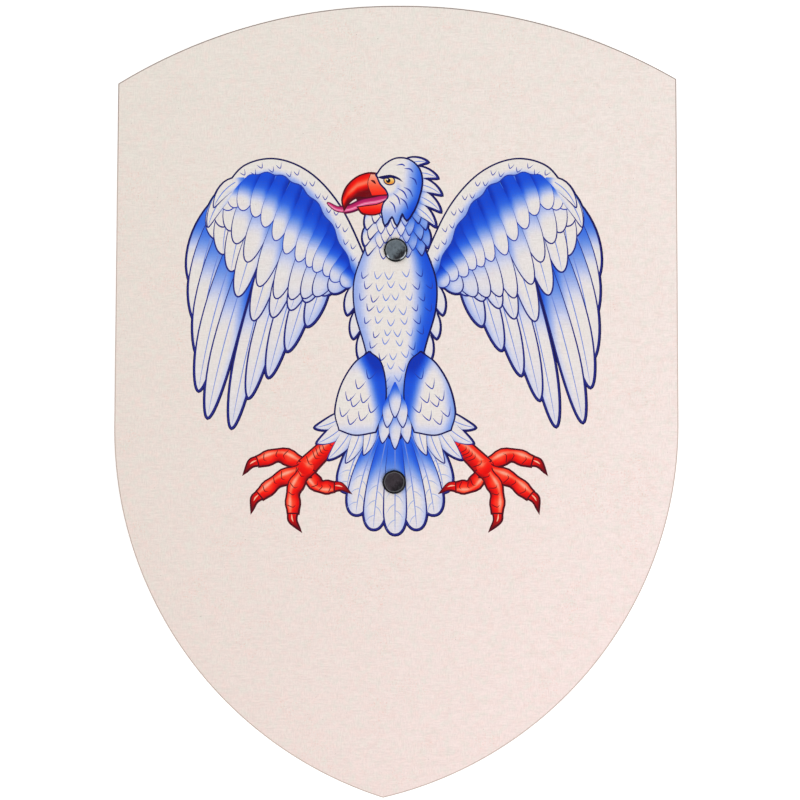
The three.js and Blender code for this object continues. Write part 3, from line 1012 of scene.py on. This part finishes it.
# Materials
class Nodes:
    """Short calls that build one material's nodes. Coordinates are the object's own, in millimetres."""

    def __init__(self, name, **constants):
        self.material = bpy.data.materials.new(name)
        self.material.use_nodes = True
        self.tree = self.material.node_tree
        self.shader = self.tree.nodes["Principled BSDF"]
        for socket, value in constants.items():
            self.feed(self.shader, socket.replace("_", " "), value)
        place = self.node("TexCoord").outputs["Object"]
        self.mm = self.vector("MULTIPLY", place, (1 / MM,) * 3)

    def feed(self, node, socket, value):
        if isinstance(value, bpy.types.NodeSocket):
            self.tree.links.new(value, node.inputs[socket])
        else:
            node.inputs[socket].default_value = value

    def node(self, kind, **inputs):
        node = self.tree.nodes.new("ShaderNode" + kind)
        for socket, value in inputs.items():
            self.feed(node, socket, value)
        return node

    def vector(self, operation, a, b):
        node = self.node("VectorMath")
        node.operation = operation
        self.feed(node, 0, a)
        self.feed(node, 1, b)
        return node.outputs[0]

    def math(self, operation, a, b=0.0):
        node = self.node("Math")
        node.operation = operation
        self.feed(node, 0, a)
        self.feed(node, 1, b)
        return node.outputs[0]

    def times(self, a, b):
        return self.math("MULTIPLY", a, b)

    def plus(self, a, b):
        return self.math("ADD", a, b)

    def minus(self, a, b):
        return self.math("SUBTRACT", a, b)

    def apart(self, a, b):
        return self.math("ABSOLUTE", self.minus(a, b))

    def length(self, x, y):
        return self.math("SQRT", self.plus(self.times(x, x), self.times(y, y)))

    def axes(self):
        parts = self.node("SeparateXYZ", Vector=self.mm)
        return parts.outputs["X"], parts.outputs["Y"], parts.outputs["Z"]

    def noise(self, size, detail=2.0, roughness=0.5, seed=0.0):
        """Soft noise of about that size in millimetres, or of three sizes, along X, Y and Z. It is 0.5 on
        average."""
        sizes = size if isinstance(size, tuple) else (size,) * 3
        place = self.vector("MULTIPLY", self.mm, tuple(1 / s for s in sizes))
        place = self.vector("ADD", place, (seed, seed, seed))
        node = self.node("TexNoise", Vector=place, Scale=1.0, Detail=detail, Roughness=roughness)
        return node.outputs["Fac"]

    def sway(self, reach, *noise):
        """Noise about 0, in a range of that reach."""
        return self.times(self.minus(self.noise(*noise), 0.5), reach)

    def between(self, value, low, high, to_low=0.0, to_high=1.0):
        """The value stretched so that low and high become the other two, and clamped to them."""
        node = self.node("MapRange", Value=value)
        for socket, number in zip(("From Min", "From Max", "To Min", "To Max"), (low, high, to_low, to_high)):
            self.feed(node, socket, number)
        return node.outputs["Result"]

    def mix(self, share, a, b, blend="MIX"):
        """Two colours mixed; a plain colour is given as sRGB shares."""
        node = self.node("Mix")
        node.data_type = "RGBA"
        node.blend_type = blend
        self.feed(node, 0, share)
        for socket, colour in ((6, a), (7, b)):
            if isinstance(colour, tuple):
                colour = (*to_linear(np.array(colour)), 1.0)
            self.feed(node, socket, colour)
        return node.outputs[2]

    def bump(self, height, distance, below=None):
        """Bumps of that height in millimetres, on top of those below."""
        node = self.node("Bump", Height=height, Distance=distance * MM, Strength=1.0)
        if below is not None:
            self.feed(node, "Normal", below)
        return node.outputs["Normal"]

    def finish(self, colour, roughness, normal):
        self.feed(self.shader, "Base Color", colour)
        self.feed(self.shader, "Roughness", roughness)
        self.feed(self.shader, "Normal", normal)
        return self.material


def printed_face_material():
    """Cream print ground with a faint weave and mottling, and the emblem's inks on it."""
    m = Nodes("printed_face", Specular_IOR_Level=0.08)
    x, y, _ = m.axes()
    # the ground lightens to the right, more so lower down, which is painted light from the lower right,
    # and blushes towards the tip
    lit_lower_down = m.between(y, HALF_HEIGHT, -HALF_HEIGHT, 0.65, 1.25)
    ground = m.mix(m.times(m.between(x, -HALF_WIDTH, HALF_WIDTH), lit_lower_down), CREAM_SHADED_LEFT, CREAM_LIT_RIGHT)
    ground = m.mix(m.between(y, HALF_HEIGHT, -HALF_HEIGHT), ground, BLUSH, "MULTIPLY")
    # pinkish and greenish patches, and a sprinkle of salmon dots in parts
    for size, seed, tint in ((4.0, 3.1, CREAM_PINK), (4.5, 7.7, CREAM_GREEN)):
        ground = m.mix(m.between(m.noise(size, 2.0, 0.6, seed), 0.46, 0.70, 0.0, 0.36), ground, tint)
    dots = m.between(m.noise(0.8, 1.0, 0.5, 4.4), 0.60, 0.70)
    dotted = m.between(m.noise(18.0, 2.0, 0.6, 8.8), 0.50, 0.66, 0.0, 0.30)
    ground = m.mix(m.times(dots, dotted), ground, SALMON)
    # a weave of level and upright threads over an even grain; where one thread is strong, the other is weak
    level = m.noise((3.5, 0.55, 9.0), 1.0, 0.5, 1.3)
    upright = m.noise((0.55, 3.5, 9.0), 1.0, 0.5, 5.9)
    weak, strong = 0.15, 0.55
    levelled = m.between(m.noise(6.0, 1.0, 0.5, 2.6), 0.35, 0.65, weak, strong)
    weave = m.plus(m.times(level, levelled), m.times(upright, m.minus(weak + strong, levelled)))
    weave = m.plus(weave, m.times(m.noise(0.9, 1.0, 0.5, 6.6), 0.3))
    specks = m.between(m.noise(0.9, 1.0, 0.4, 11.0), 0.80, 0.84)
    # the inks
    ink = m.node("Attribute")
    ink.attribute_name = INK
    cover = m.times(ink.outputs["Alpha"], m.between(weave, 0.36, 0.52, 0.99, 1.0))
    colour = m.mix(cover, ground, ink.outputs["Color"])
    colour = m.mix(m.between(weave, 0.36, 0.64, 0.17, 0.0), colour, WEAVE_SHADE, "MULTIPLY")
    colour = m.mix(m.times(specks, 0.5), colour, SPECK)
    rough = m.between(m.noise(3.0, 3.0, 0.6, 2.2), 0.3, 0.7, 0.48, 0.62)
    normal = m.bump(weave, 0.05)
    normal = m.bump(m.noise(0.35, 2.0), 0.012, normal)
    return m.finish(colour, rough, normal)


def plies_material():
    """The sawn edge: five plies, every other one with its grain end on."""
    m = Nodes("sawn_plies", Specular_IOR_Level=0.3)
    _, y, z = m.axes()
    height = m.minus(m.plus(z, m.sway(0.35, (14.0, 14.0, 3.0))), BOARD_BACK)
    layer = m.math("PINGPONG", m.math("DIVIDE", height, PLY), 1.0)
    end_grain = m.between(layer, 0.42, 0.58)
    fibres = m.noise((3.5, 3.5, 0.12), 3.0, 0.65, 4.0)
    pores = m.noise((0.28, 0.28, 0.5), 2.0, 0.6, 9.0)
    pale = m.mix(m.between(fibres, 0.35, 0.65), PLY_PALE, PLY_TAN)
    dark = m.mix(m.between(pores, 0.38, 0.62), PLY_BROWN, PLY_TAN)
    colour = m.mix(end_grain, pale, dark)
    colour = m.mix(m.between(m.apart(layer, 0.5), 0.0, 0.09, 0.5, 0.0), colour, PLY_GLUE)
    scorch = m.between(m.noise((9.0, 9.0, 2.0), 3.0, 0.6, 6.0), 0.35, 0.75, 0.0, 0.5)
    colour = m.mix(scorch, colour, PLY_BROWN)
    # the primer under the print laps over the eased front edge, greyed there by painted shade of the edge;
    # more painted shade makes it greyer along the top
    primer_and_shade = m.mix(m.between(y, *TOP_SHADE_TURNS), PRIMER_AND_SHADE_SIDE, PRIMER_AND_SHADE_TOP)
    ragged = m.plus(z, m.sway(1.2, (4.0, 4.0, 0.8), 3.0, 0.6, 7.0))
    lap = m.between(ragged, BOARD_FRONT - PRIMER_LAP[0], BOARD_FRONT - PRIMER_LAP[1], 0.0, 0.95)
    colour = m.mix(lap, colour, primer_and_shade)
    normal = m.bump(m.mix(end_grain, fibres, pores), 0.08)
    rough = m.between(pores, 0.3, 0.7, 0.65, 0.85)
    return m.finish(colour, rough, normal)


def wood_nodes(name, colours, along, figure_size, gloss):
    """Wood with its grain along Y, in three colours from pale to brown. along is how long its fibres are, and
    figure_size is the width of its growth bands, in millimetres."""
    pale, tan, brown = colours
    m = Nodes(name, Specular_IOR_Level=0.35)
    bend = m.noise((figure_size * 3, along * 1.4, figure_size * 3), 2.0, 0.5, 2.0)
    x, _, z = m.axes()
    bands = m.math("DIVIDE", m.plus(x, m.times(z, 0.7)), figure_size)
    figure = m.math("PINGPONG", m.plus(bands, m.times(bend, 5.0)), 1.0)
    fibres = m.noise((0.45, along / 3, 0.45), 3.0, 0.6, 5.0)
    pores = m.between(m.noise((0.22, along / 12, 0.22), 2.0, 0.5, 8.0), 0.62, 0.72)
    colour = m.mix(m.between(figure, 0.0, 1.0, 0.0, 0.65), pale, tan)
    colour = m.mix(m.between(fibres, 0.35, 0.7, 0.0, 0.5), colour, tan)
    colour = m.mix(m.times(pores, 0.55), colour, brown)
    blotch = m.between(m.noise((25.0, 60.0, 25.0), 2.0, 0.5, 1.0), 0.35, 0.7, 0.0, 0.35)
    colour = m.mix(blotch, colour, tan)
    rough = m.between(fibres, 0.3, 0.7, gloss, gloss + 0.14)
    normal = m.bump(fibres, 0.05)
    normal = m.bump(m.times(pores, -1.0), 0.06, normal)
    return m.finish(colour, rough, normal)


def button_material(name, top, worn, rim_glints):
    """Black satin paint on a button head, with the tone of its top. worn is how far the paint is rubbed
    through in a thin ring inside the rim. Each painted glint on the rim has a direction and a half width in
    degrees."""
    m = Nodes(name, Specular_IOR_Level=0.12)
    x, y, _ = m.axes()
    from_axis = m.length(x, y)
    radius = m.plus(from_axis, m.sway(0.5, 2.5))
    cloud = m.noise(1.6, 4.0, 0.65, 3.0)
    colour = m.mix(m.between(cloud, 0.35, 0.7, 0.0, 0.45), top, HEAD_BLACK_AND_RIM_SHADE)
    # a painted dark reflection on the lower right of the head
    dark_reflection = m.between(m.plus(m.minus(x, y), m.times(cloud, 7.0)), 4.6, 8.4, 0.0, 0.92)
    colour = m.mix(dark_reflection, colour, DARK_REFLECTION)
    ring = m.between(m.apart(radius, RUBBED_RADIUS), 0.05, 0.3, worn, 0.0)
    colour = m.mix(ring, colour, SCUFF)
    # painted shade: a near-black ring over the head's rounded edge
    colour = m.mix(m.between(radius, *RIM_SHADE_RADII), colour, HEAD_BLACK_AND_RIM_SHADE)
    scuffs = m.between(m.noise((0.25, 2.5, 0.6), 2.0, 0.5, 6.0), 0.64, 0.74, 0.0, 0.30)
    colour = m.mix(scuffs, colour, SCUFF)
    # painted glints: pale crescents on the rim, where lamps would be reflected
    for degrees, spread in rim_glints:
        across, up = m.times(x, cos(radians(degrees))), m.times(y, sin(radians(degrees)))
        turned = m.math("DIVIDE", m.plus(across, up), from_axis)
        near = m.between(turned, cos(radians(spread)), cos(radians(spread * 0.6)))
        thin = m.between(m.apart(radius, GLINT_RADIUS), 0.12, 0.32, 0.9, 0.0)
        colour = m.mix(m.times(near, thin), colour, RIM_GLINT)
    rough = m.between(cloud, 0.3, 0.7, 0.24, 0.40)
    normal = m.bump(m.noise(0.5, 3.0), 0.015)
    return m.finish(colour, rough, normal)


def floor_material():
    """A pale light table: it glows a little around the shield, so that shadows on it stay faint there."""
    m = Nodes("pale_floor", Specular_IOR_Level=0.1, Emission_Color=(*GLOW_TINT, 1.0))
    x, y, _ = m.axes()
    across = m.math("DIVIDE", x, SHADE_HALF[0])
    up = m.math("DIVIDE", m.minus(y, SHADE_MIDDLE_Y), SHADE_HALF[1])
    glow = m.between(m.length(across, up), 0.4, 1.05, FLOOR_GLOW_UNDER, FLOOR_GLOW)
    m.feed(m.shader, "Emission Strength", glow)
    colour = m.mix(m.noise(60.0, 2.0), FLOOR_LIGHT, FLOOR_SHADE)
    return m.finish(colour, 0.9, m.bump(m.noise(4.0), 0.02))


# Set
def make_floor():
    half = FLOOR_SIZE / 2
    corners = [(-half, -half, 0), (half, -half, 0), (half, half, 0), (-half, half, 0)]
    floor = add_mesh("floor", corners, [(0, 1, 2, 3)], [floor_material()])


def add_light(name, place, size, watts):
    """A soft square light that looks at the shield's middle. place and size are in metres."""
    data = bpy.data.lights.new(name, "AREA")
    data.size = size
    data.energy = watts
    light = bpy.data.objects.new(name, data)
    light.location = place
    light.rotation_euler = Vector(place).to_track_quat("Z", "Y").to_euler()
    bpy.context.scene.collection.objects.link(light)


def light_scene():
    world = bpy.data.worlds.new("studio")
    world.use_nodes = True
    tree = world.node_tree
    background = tree.nodes["Background"]
    background.inputs["Color"].default_value = (1, 1, 1, 1)
    # brighter near the horizon, so that floor and sky meet unseen
    way = tree.nodes.new("ShaderNodeTexCoord")
    parts = tree.nodes.new("ShaderNodeSeparateXYZ")
    strength = tree.nodes.new("ShaderNodeMapRange")
    for socket, number in (("From Min", 0.02), ("From Max", 0.35), ("To Min", HORIZON), ("To Max", SKY)):
        strength.inputs[socket].default_value = number
    tree.links.new(way.outputs["Generated"], parts.inputs["Vector"])
    tree.links.new(parts.outputs["Z"], strength.inputs["Value"])
    tree.links.new(strength.outputs["Result"], background.inputs["Strength"])
    bpy.context.scene.world = world
    add_light("key", (1.2, -1.2, 2.0), 1.2, KEY_WATTS)
    add_light("fill", (-1.5, 1.0, 1.8), 1.6, FILL_WATTS)
    bpy.context.scene.view_settings.view_transform = "Standard"


def aim_camera():
    """A long lens straight above, so that the shield's outline lands where the photograph has it."""
    data = bpy.data.cameras.new("camera")
    data.sensor_width = SENSOR
    data.lens = SENSOR * PHOTO_SCALE * CAMERA_DISTANCE / PICTURE
    data.clip_end = 20.0
    camera = bpy.data.objects.new("camera", data)
    centre = np.array(PHOTO_CENTRE)
    x, y = (PICTURE / 2 - centre) / PHOTO_SCALE * (1, -1)
    camera.location = (x * MM, y * MM, (BOARD_FRONT + CAMERA_DISTANCE) * MM)
    bpy.context.scene.collection.objects.link(camera)
    bpy.context.scene.camera = camera


def place_piece(piece, node):
    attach(piece, "root")
    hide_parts(node)


light_scene()
aim_camera()
make_floor()
plain_back = wood_nodes("plain_back", BIRCH, 60.0, 22.0, 0.5)
board = make_board(printed_face_material(), plies_material(), plain_back)
place_piece(board, "board")
place_piece(make_grip(wood_nodes("grip_wood", BEECH, 40.0, 5.0, 0.42)), "grip")
# each head: its top's tone, its rubbed ring, and where painted glints lie on its rim
for name, node, top, worn, rim_glints in (
        ("upper_button_screw", "screw_upper", UPPER_TOP, 0.35, ((-38.0, 30.0), (-141.0, 12.0))),
        ("lower_button_screw", "screw_lower", LOWER_TOP, 0.30, ())):
    paint = button_material(name + "_paint", top, worn, rim_glints)
    place_piece(make_screw(name, node, paint), node)
